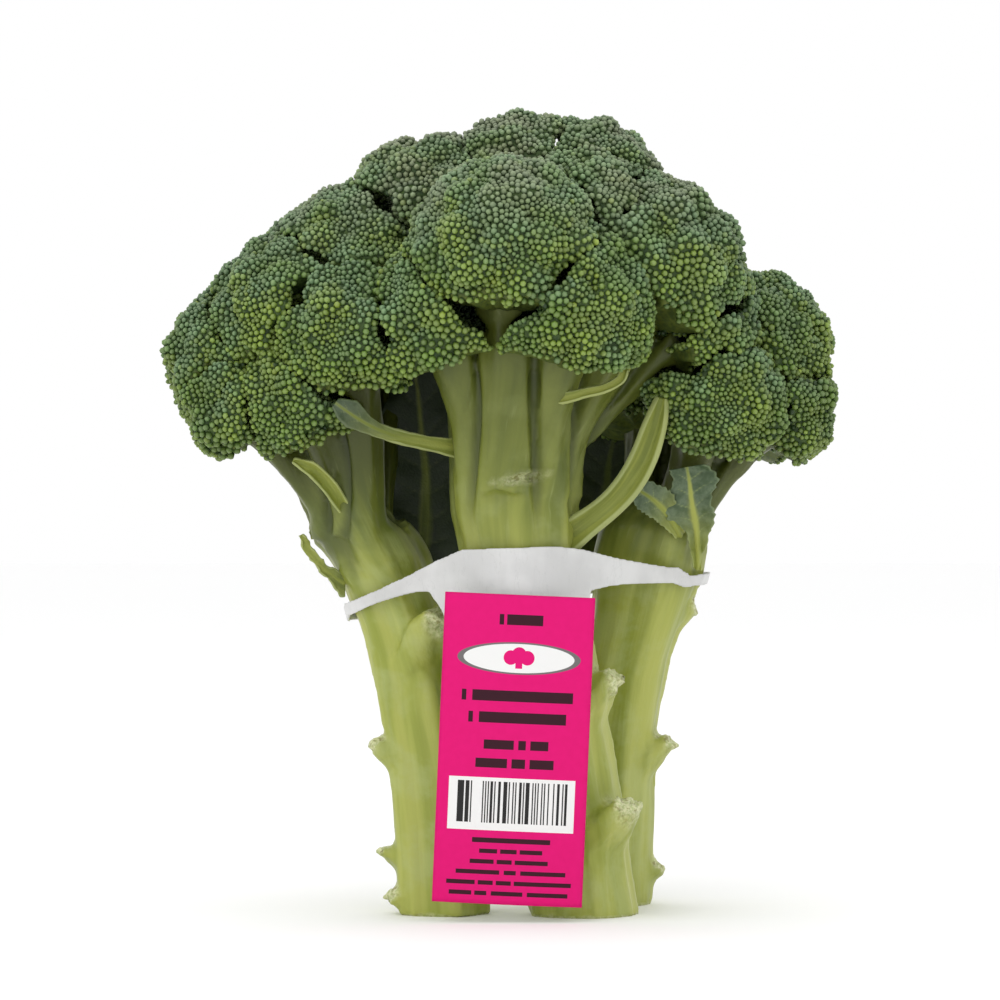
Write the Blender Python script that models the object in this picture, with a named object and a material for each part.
"""A bunch of three broccoli heads, tied by a flat band that carries a hanging label tag.

Run with: blender --background --python part.py

Sizes and places are in millimetres, and a mesh is turned into metres when it is stored.
+X is to the right, +Y to the back and +Z up. The bunch stands on its cut stalk ends, and the
origin is on the ground, under the middle of its bounding box.

Each head is a stalk with limbs, its florets and its small leaves. A floret is a ball of buds
that the florets beside it press flat where they meet, and a limb carries it from below. The
band follows the outline that a stretched loop takes around the three stalks.
"""

import math

import bmesh
import bpy
from mathutils import Vector, noise

MM = 0.001

# Driving sizes
BUNCH_LENGTH = 200.0
CROWN_SPREAD = 168.0
CROWN_DEPTH = 96.0
FLORET_SIZE = 1.0
STALK_GIRTH = 1.0
FIT_GAP = 0.3
BAND_LOWER_BY = 0.0
BAND_THICKNESS = 0.8
BAND_GAP = 0.6
TAG_WIDTH = 36.8
TAG_FOOT_HEIGHT = 4.5
TAG_THICKNESS = 0.5
TAG_LEAN_DEG = 2.5
TAG_BOW = 1.2
LEAF_THICKNESS = 1.0

# The size that the places below are drawn at. The driving sizes stretch them from it: the stalks
# stand as far apart as their girth needs up to the band, and the crown's stretch takes over above it.
DRAWN_LENGTH, DRAWN_SPREAD, DRAWN_DEPTH = 200.0, 168.0, 96.0
STALKS_TO, CROWN_FROM = 84.0, 132.0

# Florets
FLORET_LUMP = 0.06
FLORET_LUMP_PITCH = 2.2
FLORET_CROWDING = 1.16
UNDERSIDE_AT = 0.36
FLORET_SIDES, FLORET_RINGS = 12, 8

# Limbs and trunks
TRUNK_SIDES, TRUNK_RINGS = 14, 11
FORK_AT = 0.74
TRUNK_RIDGE, TRUNK_RIDGES = 0.04, 5
LIMB_SIDES, LIMB_RINGS = 7, 4
LIMB_ROOT_SHARE, LIMB_WAIST_SHARE, LIMB_TOP_SHARE = 0.42, 0.34, 0.42
LIMB_SINKS_IN = 2.0
LIMB_ROOT_OFFSET = 0.55
LIMB_TILT = 0.4
BLADE_SIDES, BLADE_RINGS = 6, 7

# Stalk lines from the cut end up to the fork: x, y, z, radius
TRUNKS = {
    "center": [
        (21.0, -8.0, 0.0, 15.0),
        (19.0, -8.5, 15.0, 14.6),
        (16.0, -10.0, 37.0, 14.2),
        (13.0, -12.0, 54.0, 14.2),
        (8.5, -13.5, 72.0, 14.8),
        (5.0, -14.0, 90.0, 15.6),
        (3.5, -13.5, 106.0, 17.0),
        (3.5, -12.0, 117.0, 15.0),
        (3.5, -11.0, 124.0, 8.0),
    ],
    "left": [
        (-14.0, -6.0, 0.0, 12.2),
        (-16.5, -5.0, 36.0, 12.2),
        (-19.5, -3.5, 54.0, 12.2),
        (-23.0, -1.5, 66.0, 12.2),
        (-26.5, 0.0, 79.0, 12.4),
        (-32.5, 1.0, 91.0, 14.8),
        (-37.0, 1.5, 99.0, 13.8),
        (-39.5, 2.0, 106.0, 7.5),
    ],
    "right": [
        (28.0, 19.5, 0.0, 12.0),
        (28.5, 18.0, 32.0, 11.8),
        (30.0, 16.0, 50.0, 11.8),
        (33.5, 13.5, 66.0, 12.0),
        (37.0, 11.5, 79.0, 14.0),
        (38.5, 10.0, 91.0, 15.6),
        (40.5, 9.5, 100.0, 14.2),
        (43.0, 9.0, 107.0, 7.5),
    ],
}

# Florets by head: name, x, y, z, radius
FLORETS = {
    "center": [
        ("front", 1.7, -30.0, 168.5, 19.5),
        ("front_low", 19.0, -29.5, 151.5, 16.8),
        ("front_left", -15.5, -26.0, 149.5, 14.0),
        ("front_upper", 22.5, -16.0, 174.5, 13.5),
        ("right", 42.0, -13.0, 164.8, 18.0),
        ("right_low", 49.5, -8.0, 149.0, 12.5),
        ("top_left", -19.5, -2.0, 181.5, 14.2),
        ("top", 5.0, 0.0, 188.5, 12.8),
        ("top_right", 24.5, 0.0, 186.0, 13.5),
        ("back_left", -18.0, 24.0, 176.0, 16.5),
        ("back", 7.0, 29.0, 177.0, 16.5),
        ("back_right", 31.0, 22.0, 172.0, 17.0),
        ("back_low_left", -12.0, 33.0, 158.0, 14.0),
        ("back_low_right", 17.0, 35.0, 157.0, 14.0),
    ],
    "left": [
        ("upper", -36.5, -4.0, 165.5, 16.2),
        ("front", -36.5, -20.0, 145.5, 15.0),
        ("side", -53.5, -8.0, 153.5, 15.5),
        ("far", -71.0, -2.0, 141.0, 12.0),
        ("far_low", -66.5, -10.5, 127.0, 10.6),
        ("front_low", -49.0, -16.0, 129.5, 12.5),
        ("back_upper", -43.0, 18.0, 163.0, 16.5),
        ("back_side", -62.0, 13.0, 146.0, 14.5),
        ("back_low", -49.0, 26.0, 140.0, 14.0),
        ("back_inner", -28.0, 33.0, 147.0, 14.0),
    ],
    "right": [
        ("upper", 68.5, 9.0, 146.0, 15.0),
        ("front", 54.5, -8.0, 129.0, 14.5),
        ("side_low", 73.5, 4.0, 126.5, 11.0),
        ("back", 56.0, 30.0, 147.0, 14.5),
        ("back_low", 66.0, 23.0, 129.0, 13.0),
        ("inner", 36.0, 20.0, 130.0, 11.5),
    ],
}

# Leaves: head, name, widths at root, middle and tip, then the line along the middle of the blade
LEAVES = [
    (
        "center", "strap", (5.0, 5.5, 2.0),
        [(-13.0, -20.0, 117.0), (-25.0, -25.5, 119.0), (-33.0, -30.0, 122.5), (-40.0, -33.0, 127.5)],
    ),
    (
        "center", "curl", (3.2, 3.0, 1.6),
        [(14.0, -28.5, 128.5), (22.0, -31.5, 129.0), (28.5, -31.5, 132.0), (32.0, -30.0, 136.0)],
    ),
    (
        "center", "petiole", (6.0, 6.5, 3.0),
        [(20.5, -19.0, 95.5), (29.5, -20.0, 103.0), (36.5, -20.5, 114.5), (40.5, -20.0, 129.0)],
    ),
    (
        "left", "inner_leaf", (9.0, 22.0, 12.0),
        [(-13.0, 18.0, 86.0), (-14.5, 19.0, 98.0), (-17.5, 19.0, 112.0), (-20.0, 18.0, 127.0)],
    ),
    (
        "left", "bract", (3.0, 4.5, 1.5),
        [(-39.0, -12.0, 103.0), (-42.5, -16.0, 108.0), (-46.5, -19.0, 111.5), (-51.0, -20.0, 113.5)],
    ),
    (
        "left", "peel", (4.5, 4.0, 2.0),
        [(-42.5, -6.0, 80.5), (-44.5, -7.0, 84.5), (-47.0, -8.0, 89.5), (-49.5, -8.0, 95.0)],
    ),
    (
        "right", "side_leaf", (3.0, 9.0, 3.0),
        [(45.5, -13.5, 96.5), (42.0, -14.5, 101.0), (37.0, -15.0, 105.0), (31.0, -15.5, 108.0)],
    ),
    (
        "right", "upright_leaf", (3.5, 15.0, 10.0),
        [(52.0, -6.0, 88.0), (50.5, -9.0, 96.0), (48.5, -10.5, 104.0), (47.0, -11.0, 112.0)],
    ),
    (
        "right", "back_leaf", (8.0, 20.0, 10.0),
        [(21.5, 28.5, 87.0), (24.0, 29.5, 97.0), (27.0, 29.5, 108.0), (29.5, 28.0, 119.0)],
    ),
]

# Cut leaf stumps: head, height on the stalk, bearing in degrees (0 is right, -90 is the front), length,
# radius and how far it rises
STUMPS = [
    ("left", 38.5, 195.0, 3.6, 4.4, 4.5),
    ("left", 13.0, 190.0, 3.6, 3.4, 3.5),
    ("left", 4.0, 200.0, 2.6, 4.0, 0.5),
    ("left", 66.0, -55.0, 4.0, 6.5, 10.0),
    ("center", 21.0, -42.0, 5.0, 6.5, 8.0),
    ("center", 52.0, -25.0, 3.0, 6.0, 9.0),
    ("right", 37.0, -15.0, 4.5, 5.0, 5.5),
    ("right", 7.0, 0.0, 2.2, 3.5, 2.5),
    ("right", 74.0, 10.0, 2.0, 5.0, 2.5),
    ("center", 40.0, 120.0, 5.0, 5.0, 6.0),
    ("left", 48.0, 100.0, 5.0, 5.0, 6.0),
    ("right", 52.0, 70.0, 5.0, 5.0, 6.0),
]
STUMP_SIDES = 8

# The band's front edges: x, lower edge, upper edge. The wide part behind the tag is the tab.
BAND_FRONT = [
    (-45.0, 73.0, 76.2),
    (-38.0, 74.8, 78.0),
    (-30.0, 78.0, 81.0),
    (-20.0, 80.8, 85.2),
    (-15.0, 81.0, 88.0),
    (-13.0, 70.0, 89.0),
    (-7.5, 70.0, 91.6),
    (14.0, 70.0, 92.4),
    (20.5, 70.0, 91.6),
    (22.5, 81.2, 91.0),
    (28.0, 82.4, 89.4),
    (38.0, 82.8, 87.2),
    (53.0, 82.3, 85.5),
    (60.0, 82.2, 85.4),
]
BAND_STATIONS = 72
BAND_ROWS = 2
CIRCLE_POINTS = 36
TAG_TOP = 80.5
TAG_GAP_TO_BAND = 0.5
TAG_MIDDLE_X = 3.7
TAG_COLUMNS, TAG_ROWS = 4, 8

COLOURS = {
    "stalk": ((0.36, 0.45, 0.13), 0.5),
    "floret": ((0.07, 0.14, 0.05), 0.7),
    "leaf": ((0.12, 0.22, 0.09), 0.55),
    "band": ((0.78, 0.79, 0.78), 0.4),
    "tag": ((0.80, 0.0, 0.19), 0.4),
}


def placed(x, y, z):
    """A drawn place, stretched to the driving sizes."""
    share = min(max((z - STALKS_TO) / (CROWN_FROM - STALKS_TO), 0.0), 1.0)
    across = STALK_GIRTH * (1 - share) + CROWN_SPREAD / DRAWN_SPREAD * share
    deep = STALK_GIRTH * (1 - share) + CROWN_DEPTH / DRAWN_DEPTH * share
    return Vector((x * across, y * deep, z * BUNCH_LENGTH / DRAWN_LENGTH))


def clear_scene():
    for obj in list(bpy.data.objects):
        bpy.data.objects.remove(obj, do_unlink=True)


def material(kind):
    found = bpy.data.materials.get(kind)
    if found:
        return found
    colour, roughness = COLOURS[kind]
    made = bpy.data.materials.new(kind)
    made.use_nodes = True
    shader = made.node_tree.nodes["Principled BSDF"]
    shader.inputs["Base Color"].default_value = (*colour, 1.0)
    shader.inputs["Roughness"].default_value = roughness
    shader.inputs["Metallic"].default_value = 0.0
    return made


def store(name, bm, kind, helper=False):
    """Turns a mesh in millimetres into a named object in metres. A helper is only cut or joined with."""
    bmesh.ops.recalc_face_normals(bm, faces=bm.faces)
    for vert in bm.verts:
        vert.co *= MM
    mesh = bpy.data.meshes.new(name)
    bm.to_mesh(mesh)
    bm.free()
    mesh.materials.append(material(kind))
    obj = bpy.data.objects.new(name, mesh)
    bpy.context.scene.collection.objects.link(obj)
    if helper:
        obj.hide_render = True
        obj.display_type = "WIRE"
    else:
        mesh.shade_smooth()
        mesh.set_sharp_from_angle(angle=math.radians(40))
    return obj


def smooth_line(points, count):
    """Evenly numbered points on a Catmull-Rom curve through rows of numbers."""
    rows = [points[0], *points, points[-1]]
    spans = len(points) - 1
    made = []
    for k in range(count):
        at = k * spans / (count - 1)
        span = min(int(at), spans - 1)
        t = at - span
        a, b, c, d = rows[span : span + 4]
        made.append(
            [
                0.5
                * (2 * q + (r - p) * t + (2 * p - 5 * q + 4 * r - s) * t**2 + (3 * q - p - 3 * r + s) * t**3)
                for p, q, r, s in zip(a, b, c, d)
            ]
        )
    return made


def loft(rings):
    """A closed mesh through rings of equally many points, with flat ends."""
    bm = bmesh.new()
    loops = [[bm.verts.new(point) for point in ring] for ring in rings]
    sides = len(rings[0])
    for lower, upper in zip(loops, loops[1:]):
        for k in range(sides):
            after = (k + 1) % sides
            bm.faces.new((lower[k], lower[after], upper[after], upper[k]))
    bm.faces.new(loops[0][::-1])
    bm.faces.new(loops[-1])
    return bm


def tube(line, half_widths, half_depths, sides, facing):
    """A loft of ellipses square to a line. facing is the way that the flat side of a blade looks."""
    rings = []
    for k, point in enumerate(line):
        ahead = line[min(k + 1, len(line) - 1)] - line[max(k - 1, 0)]
        along = ahead.normalized()
        across = along.cross(facing).normalized()
        up = across.cross(along)
        ring = []
        for s in range(sides):
            angle = 2 * math.pi * s / sides
            aside = across * half_widths[k] * math.cos(angle)
            ring.append(point + aside + up * half_depths[k] * math.sin(angle))
        rings.append(ring)
    return loft(rings)


# Trunks


def trunk_line(head, count=TRUNK_RINGS):
    """(centre, radius) up the stalk, from the cut end to the fork."""
    rows = [(*placed(x, y, z), radius * STALK_GIRTH) for x, y, z, radius in TRUNKS[head]]
    return [(Vector(row[:3]), row[3]) for row in smooth_line(rows, count)]


def trunk_at(head, height):
    """(centre, radius) of the stalk at a height."""
    line = trunk_line(head, 60)
    below = max((p for p in line if p[0].z <= height), key=lambda p: p[0].z, default=line[0])
    above = min((p for p in line if p[0].z >= height), key=lambda p: p[0].z, default=line[-1])
    rise = above[0].z - below[0].z
    share = (height - below[0].z) / rise if rise > 0 else 0.0
    return below[0].lerp(above[0], share), below[1] + (above[1] - below[1]) * share


def fork(head):
    """(centre, radius) of the stalk where its limbs start."""
    line = trunk_line(head, 60)
    return line[int(FORK_AT * 60)]


def trunk_mesh(head):
    rings = []
    for centre, radius in trunk_line(head):
        ring = []
        for s in range(TRUNK_SIDES):
            angle = 2 * math.pi * s / TRUNK_SIDES
            reach = radius * (1 - TRUNK_RIDGE + TRUNK_RIDGE * math.cos(TRUNK_RIDGES * angle))
            ring.append(centre + Vector((reach * math.cos(angle), reach * math.sin(angle), 0.0)))
        rings.append(ring)
    return loft(rings)


# Florets


def outward(head, centre):
    """The way a floret faces: away from the fork of its stalk."""
    return (centre - fork(head)[0]).normalized()


def all_florets():
    """{(head, name): (centre, radius)}. Crowding widens a floret and sinks it, so its top stays put."""
    florets = {}
    for head, rows in FLORETS.items():
        for name, x, y, z, radius in rows:
            centre = placed(x, y, z)
            reach = radius * FLORET_SIZE
            centre -= outward(head, centre) * reach * (FLORET_CROWDING - 1)
            florets[head, name] = (centre, reach * FLORET_CROWDING)
    return florets


def cut_away(bm, point, normal):
    """Removes what lies beyond a plane, and closes the cut."""
    geometry = [*bm.verts, *bm.edges, *bm.faces]
    cut = bmesh.ops.bisect_plane(bm, geom=geometry, plane_co=point, plane_no=normal, clear_outer=True)
    rim = [part for part in cut["geom_cut"] if isinstance(part, bmesh.types.BMEdge)]
    if rim:
        bmesh.ops.edgeloop_fill(bm, edges=rim)


def floret_mesh(key, florets, grown=0.0):
    """A lumpy ball, cut flat below and where a neighbour presses on it. grown adds to it all round."""
    head, _ = key
    centre, radius = florets[key]
    facing = outward(head, centre)
    turn = facing.to_track_quat("Z", "Y").to_matrix()
    bm = bmesh.new()
    bmesh.ops.create_uvsphere(bm, u_segments=FLORET_SIDES, v_segments=FLORET_RINGS, radius=1.0)
    for vert in bm.verts:
        ray = turn @ vert.co
        lump = noise.noise(ray * FLORET_LUMP_PITCH + centre)
        vert.co = centre + ray * (radius * (1 + FLORET_LUMP * lump) + grown)
    bmesh.ops.triangulate(bm, faces=bm.faces, quad_method="FIXED")
    cut_away(bm, centre - facing * (radius * UNDERSIDE_AT + grown), -facing)
    for other, (other_centre, other_radius) in florets.items():
        apart = other_centre - centre
        if other == key or apart.length > (radius + other_radius) * (1 + FLORET_LUMP):
            continue
        crease = (apart.length_squared + radius**2 - other_radius**2) / (2 * apart.length)
        cut_away(bm, centre + apart.normalized() * (crease + grown - FIT_GAP / 2), apart)
    return bm


# Limbs, stumps and leaves


def limb_mesh(head, centre, radius):
    """A branch that leaves the stalk below its fork and ends inside the floret it carries."""
    facing = outward(head, centre)
    end = centre - facing * (radius * UNDERSIDE_AT - LIMB_SINKS_IN)
    root, root_radius = fork(head)
    aside = Vector((end.x - root.x, end.y - root.y, 0.0)).normalized()
    start = root + aside * root_radius * LIMB_ROOT_OFFSET
    reach = (end - start).length / 2.6
    leaving = Vector((0.0, 0.0, 1.0)).lerp((end - start).normalized(), LIMB_TILT).normalized()
    first = start + leaving * reach
    last = end - facing * reach
    points, radii = [], []
    for k in range(LIMB_RINGS + 1):
        t = k / LIMB_RINGS
        early = start * (1 - t) ** 3 + first * 3 * t * (1 - t) ** 2
        points.append(early + last * 3 * t**2 * (1 - t) + end * t**3)
        lower = LIMB_ROOT_SHARE * (1 - t) ** 2 + LIMB_WAIST_SHARE * (1 - (1 - t) ** 2 - t**2)
        radii.append(radius * (lower * STALK_GIRTH + LIMB_TOP_SHARE * t**2))
    return tube(points, radii, radii, LIMB_SIDES, aside)


def stump_mesh(head, height, bearing, length, radius, rise):
    """What is left of a leaf stem that was cut off near the stalk."""
    centre, trunk_radius = trunk_at(head, placed(0, 0, height).z)
    angle = math.radians(bearing)
    aside = Vector((math.cos(angle), math.sin(angle), 0.0))
    drop = min(rise, centre.z - radius - 1.0) * 0.5
    inside = centre + aside * trunk_radius * 0.45 - Vector((0.0, 0.0, drop))
    outside = centre + aside * (trunk_radius + length) + Vector((0.0, 0.0, rise))
    line = [inside, inside.lerp(outside, 0.6), outside]
    widths = [radius * 1.7, radius * 1.25, radius * 0.85]
    depths = [radius * 1.1, radius * 0.75, radius * 0.5]
    return tube(line, widths, depths, STUMP_SIDES, Vector((0.0, 0.0, 1.0)))


def leaf_mesh(widths, points, grown=0.0):
    """A narrow blade along its middle line, as thick as a leaf's rib."""
    root, middle, tip = widths
    line = [Vector(row) for row in smooth_line([placed(*point) for point in points], BLADE_RINGS)]
    half_widths, half_depths = [], []
    for k in range(BLADE_RINGS):
        t = k / (BLADE_RINGS - 1)
        width = root * (1 - t) ** 2 + 2 * (middle * 2 - (root + tip) / 2) * t * (1 - t) + tip * t**2
        half_widths.append(width / 2 + grown)
        half_depths.append(LEAF_THICKNESS / 2 * (1.3 - 0.6 * t) + grown)
    if grown:
        line[0] = line[0] + (line[0] - line[1]).normalized() * grown
        line[-1] = line[-1] + (line[-1] - line[-2]).normalized() * grown
    return tube(line, half_widths, half_depths, BLADE_SIDES, Vector((0.0, -1.0, 0.1)))


# Band and tag


def convex_outline(points):
    """The convex hull of points in a plane, anticlockwise."""
    rows = sorted(set(points))

    def half(sequence):
        chain = []
        for p in sequence:
            while len(chain) > 1:
                (ax, ay), (bx, by) = chain[-2], chain[-1]
                if (bx - ax) * (p[1] - ay) - (by - ay) * (p[0] - ax) > 0:
                    break
                chain.pop()
            chain.append(p)
        return chain

    return half(rows)[:-1] + half(rows[::-1])[:-1]


def wrap_outline(height):
    """The line that a stretched loop takes around the three stalks at a height."""
    points = []
    for head in TRUNKS:
        centre, radius = trunk_at(head, height)
        for s in range(CIRCLE_POINTS):
            angle = 2 * math.pi * s / CIRCLE_POINTS
            reach = radius + BAND_GAP
            points.append((centre.x + reach * math.cos(angle), centre.y + reach * math.sin(angle)))
    return convex_outline(points)


def wrap_reach(outline, middle, angle):
    """How far the outline is from a point inside it, in a direction."""
    dx, dy = math.cos(angle), math.sin(angle)
    for (ax, ay), (bx, by) in zip(outline, outline[1:] + outline[:1]):
        ex, ey = bx - ax, by - ay
        turn = dx * ey - dy * ex
        if abs(turn) < 1e-9:
            continue
        far = ((ax - middle.x) * ey - (ay - middle.y) * ex) / turn
        share = ((ax - middle.x) * dy - (ay - middle.y) * dx) / turn
        if far > 0 and -1e-9 <= share <= 1 + 1e-9:
            return far
    raise ValueError("the outline doesn't go round its middle")


def band_edges(x):
    """(lower, upper) heights of the band's front at x. The back of the band has no tab."""
    rows = [(placed(a, 0, 0).x, placed(0, 0, b).z, placed(0, 0, c).z) for a, b, c in BAND_FRONT]
    x = min(max(x, rows[0][0]), rows[-1][0])
    for (ax, alow, ahigh), (bx, blow, bhigh) in zip(rows, rows[1:]):
        if x <= bx:
            share = (x - ax) / (bx - ax)
            low = alow + (blow - alow) * share
            high = ahigh + (bhigh - ahigh) * share
            return low - BAND_LOWER_BY, high - BAND_LOWER_BY
    raise ValueError("x is past the band's ends")


def band_middle():
    centres = [trunk_at(head, placed(0, 0, 80).z)[0] for head in TRUNKS]
    return sum(centres, Vector()) / len(centres)


def band_mesh():
    """A loop of flat band: an inner and an outer wall, with a tab at the front for the tag."""
    middle = band_middle()
    left_low, left_high = band_edges(-1000.0)
    right_low, right_high = band_edges(1000.0)
    mid_outline = wrap_outline((left_low + right_high) / 2)
    half_span = max(abs(x - middle.x) for x, _ in mid_outline)
    rings = []
    for k in range(BAND_STATIONS):
        angle = 2 * math.pi * k / BAND_STATIONS
        dx, dy = math.cos(angle), math.sin(angle)
        x = middle.x + dx * wrap_reach(mid_outline, middle, angle)
        if dy < 0:
            low, high = band_edges(x)
        else:
            share = (x - middle.x + half_span) / (2 * half_span)
            low = left_low + (right_low - left_low) * share
            high = left_high + (right_high - left_high) * share
        inner, outer = [], []
        for row in range(BAND_ROWS + 1):
            height = low + (high - low) * row / BAND_ROWS
            reach = wrap_reach(wrap_outline(height), middle, angle)
            inner.append(Vector((middle.x + dx * reach, middle.y + dy * reach, height)))
            reach += BAND_THICKNESS
            outer.append(Vector((middle.x + dx * reach, middle.y + dy * reach, height)))
        rings.append(outer + inner[::-1])
    bm = bmesh.new()
    loops = [[bm.verts.new(point) for point in ring] for ring in rings]
    for ring, after in zip(loops, loops[1:] + loops[:1]):
        for a in range(len(ring)):
            b = (a + 1) % len(ring)
            bm.faces.new((ring[a], ring[b], after[b], after[a]))
    return bm


def tag_mesh():
    """A thin card that hangs in front of the band's tab, a little bowed and leaning to one side."""
    top = placed(0, 0, TAG_TOP).z - BAND_LOWER_BY
    length = top - TAG_FOOT_HEIGHT
    middle_x = placed(TAG_MIDDLE_X, 0, 0).x
    outline = wrap_outline(band_edges(middle_x)[1])
    front = min(y for _, y in outline) - BAND_THICKNESS - TAG_GAP_TO_BAND - TAG_THICKNESS
    lean = math.radians(TAG_LEAN_DEG)
    bm = bmesh.new()
    grid = []
    for side in (0.0, TAG_THICKNESS):
        layer = []
        for row in range(TAG_ROWS + 1):
            line = []
            for column in range(TAG_COLUMNS + 1):
                u = (column / TAG_COLUMNS - 0.5) * TAG_WIDTH
                v = (row / TAG_ROWS - 0.5) * length
                bow = TAG_BOW * (2 * u / TAG_WIDTH) ** 2
                x = middle_x + u * math.cos(lean) + v * math.sin(lean)
                z = top - length / 2 + v * math.cos(lean) - u * math.sin(lean)
                line.append(bm.verts.new((x, front - TAG_BOW + bow + side, z)))
            layer.append(line)
        grid.append(layer)
    front_layer, back_layer = grid
    for row in range(TAG_ROWS):
        for column in range(TAG_COLUMNS):
            for layer in (front_layer, back_layer):
                a, b = layer[row][column], layer[row][column + 1]
                c, d = layer[row + 1][column + 1], layer[row + 1][column]
                bm.faces.new((a, b, c, d))
    for row in range(TAG_ROWS):
        for column in (0, TAG_COLUMNS):
            a, b = front_layer[row][column], front_layer[row + 1][column]
            c, d = back_layer[row + 1][column], back_layer[row][column]
            bm.faces.new((a, b, c, d))
    for column in range(TAG_COLUMNS):
        for row in (0, TAG_ROWS):
            a, b = front_layer[row][column], front_layer[row][column + 1]
            c, d = back_layer[row][column + 1], back_layer[row][column]
            bm.faces.new((a, b, c, d))
    return bm


# Building


def collected(name, objects):
    """A collection of helpers, which a Boolean takes as one operand."""
    group = bpy.data.collections.new(name)
    bpy.context.scene.collection.children.link(group)
    for obj in objects:
        bpy.context.scene.collection.objects.unlink(obj)
        group.objects.link(obj)
    return group


def add_boolean(obj, operation, group):
    modifier = obj.modifiers.new(operation.lower(), "BOOLEAN")
    modifier.operation = operation
    modifier.solver = "EXACT"
    modifier.operand_type = "COLLECTION"
    modifier.collection = group


def build_stalk(head, florets, leaves):
    """The trunk joined with its limbs and stumps, then cleared of the florets and leaves by the fit gap."""
    stalk = store(f"{head}_stalk", trunk_mesh(head), "stalk")
    joined = [
        store(f"{head}_limb_{name}", limb_mesh(head, *florets[head, name]), "stalk", helper=True)
        for name, *_ in FLORETS[head]
    ]
    joined += [
        store(f"{head}_stump_{k}", stump_mesh(*row), "stalk", helper=True)
        for k, row in enumerate(STUMPS)
        if row[0] == head
    ]
    add_boolean(stalk, "UNION", collected(f"{head}_joined", joined))
    cleared = [
        store(f"{head}_clears_{'_'.join(key)}", floret_mesh(key, florets, FIT_GAP), "floret", helper=True)
        for key in florets
    ]
    cleared += [
        store(f"{head}_clears_leaf_{k}", leaf_mesh(widths, points, FIT_GAP), "leaf", helper=True)
        for k, (_, _, widths, points) in enumerate(leaves)
    ]
    add_boolean(stalk, "DIFFERENCE", collected(f"{head}_cleared", cleared))


def stand_over_origin():
    """Moves every mesh so that the origin is under the middle of the shown objects, at their base."""
    bpy.context.view_layer.update()
    graph = bpy.context.evaluated_depsgraph_get()
    shown = [obj for obj in bpy.data.objects if not obj.hide_render]
    corners = []
    for obj in shown:
        mesh = obj.evaluated_get(graph).to_mesh()
        corners += [obj.matrix_world @ vert.co for vert in mesh.vertices]
        obj.evaluated_get(graph).to_mesh_clear()
    low = [min(corner[axis] for corner in corners) for axis in range(3)]
    high = [max(corner[axis] for corner in corners) for axis in range(3)]
    shift = Vector((-(low[0] + high[0]) / 2, -(low[1] + high[1]) / 2, -low[2]))
    for obj in bpy.data.objects:
        obj.location += shift


def main():
    clear_scene()
    florets = all_florets()
    for head in TRUNKS:
        build_stalk(head, florets, LEAVES)
    for key in florets:
        store("{}_floret_{}".format(*key), floret_mesh(key, florets), "floret")
    cleared = []
    for key in florets:
        grown = floret_mesh(key, florets, FIT_GAP)
        cleared.append(store(f"leaves_clear_{'_'.join(key)}", grown, "floret", helper=True))
    around = collected("leaves_cleared", cleared)
    for head, name, widths, points in LEAVES:
        leaf = store(f"{head}_leaf_{name}", leaf_mesh(widths, points), "leaf")
        add_boolean(leaf, "DIFFERENCE", around)
    store("band", band_mesh(), "band")
    store("label_tag", tag_mesh(), "tag")
    stand_over_origin()


main()
